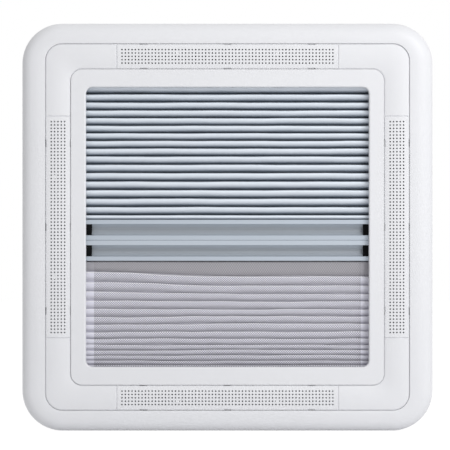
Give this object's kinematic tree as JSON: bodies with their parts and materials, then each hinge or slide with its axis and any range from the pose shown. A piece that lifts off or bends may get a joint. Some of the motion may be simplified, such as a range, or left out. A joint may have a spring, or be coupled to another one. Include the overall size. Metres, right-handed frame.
{
  "type": "roof vent frame with pleated blind and insect screen",
  "caption": "Room-side frame of a square camper roof vent, with perforated air covers, a pleated blackout blind and a pleated insect screen on sliding pull bars.",
  "frame": {"origin": "centre of the bezel's back rim, in the plane of the ceiling", "axes": "-Y faces the room and +Y points out through the roof; +X is right and +Z is the blackout blind's end, as seen from the room. Shown upright as in the picture: a ceiling installation turns it 90 degrees about X"},
  "size_m": [0.492, 0.0521, 0.488],
  "materials": {
    "bezel_plastic": "fine satin moulding",
    "inner_frame_plastic": "fine satin moulding",
    "cover_plastic": "fine satin moulding",
    "grille_plastic": "fine satin moulding",
    "collar_plastic": "fine satin moulding",
    "bar_aluminium": "satin anodised",
    "rail_aluminium": "satin anodised",
    "glide_plastic": "satin moulding",
    "retainer_plastic": "extruded",
    "blackout_cloth": "pleated metallised blackout cloth, silver to the room",
    "screen_mesh": "pleated fly-screen mesh",
    "screw_steel": "zinc plated"
  },
  "bodies": {
    "frame": {"bezel": "bezel_plastic", "inner_frame": "inner_frame_plastic", "collar": "collar_plastic", "rail_left": "rail_aluminium", "rail_right": "rail_aluminium", "head_rail": "rail_aluminium", "foot_rail": "rail_aluminium", "blackout_fabric": "blackout_cloth", "insect_screen": "screen_mesh", "collar_screws": "screw_steel", "rail_screws": "screw_steel", "corner_cover_top_left": "cover_plastic", "corner_cover_top_right": "cover_plastic", "corner_cover_bottom_left": "cover_plastic", "corner_cover_bottom_right": "cover_plastic", "grille_top": "grille_plastic", "grille_bottom": "grille_plastic", "grille_left": "grille_plastic", "grille_right": "grille_plastic", "retainer_blind_head": "retainer_plastic", "retainer_screen_foot": "retainer_plastic"},
    "blind_carriage": {"blind_bar": "bar_aluminium", "glide_blind_left": "glide_plastic", "glide_blind_right": "glide_plastic", "retainer_blind_bar": "retainer_plastic"},
    "screen_carriage": {"screen_bar": "bar_aluminium", "glide_screen_left": "glide_plastic", "glide_screen_right": "glide_plastic", "retainer_screen_bar": "retainer_plastic"}
  },
  "joints": [
    {"name": "blind_slide", "type": "slide", "parent": "frame", "child": "blind_carriage", "axis": [0, 0, 1], "range_m": [0, 0.154], "deforming": ["blackout_fabric"]},
    {"name": "screen_slide", "type": "slide", "parent": "frame", "child": "screen_carriage", "axis": [0, 0, -1], "range_m": [0, 0.127], "deforming": ["insect_screen"]}
  ]
}
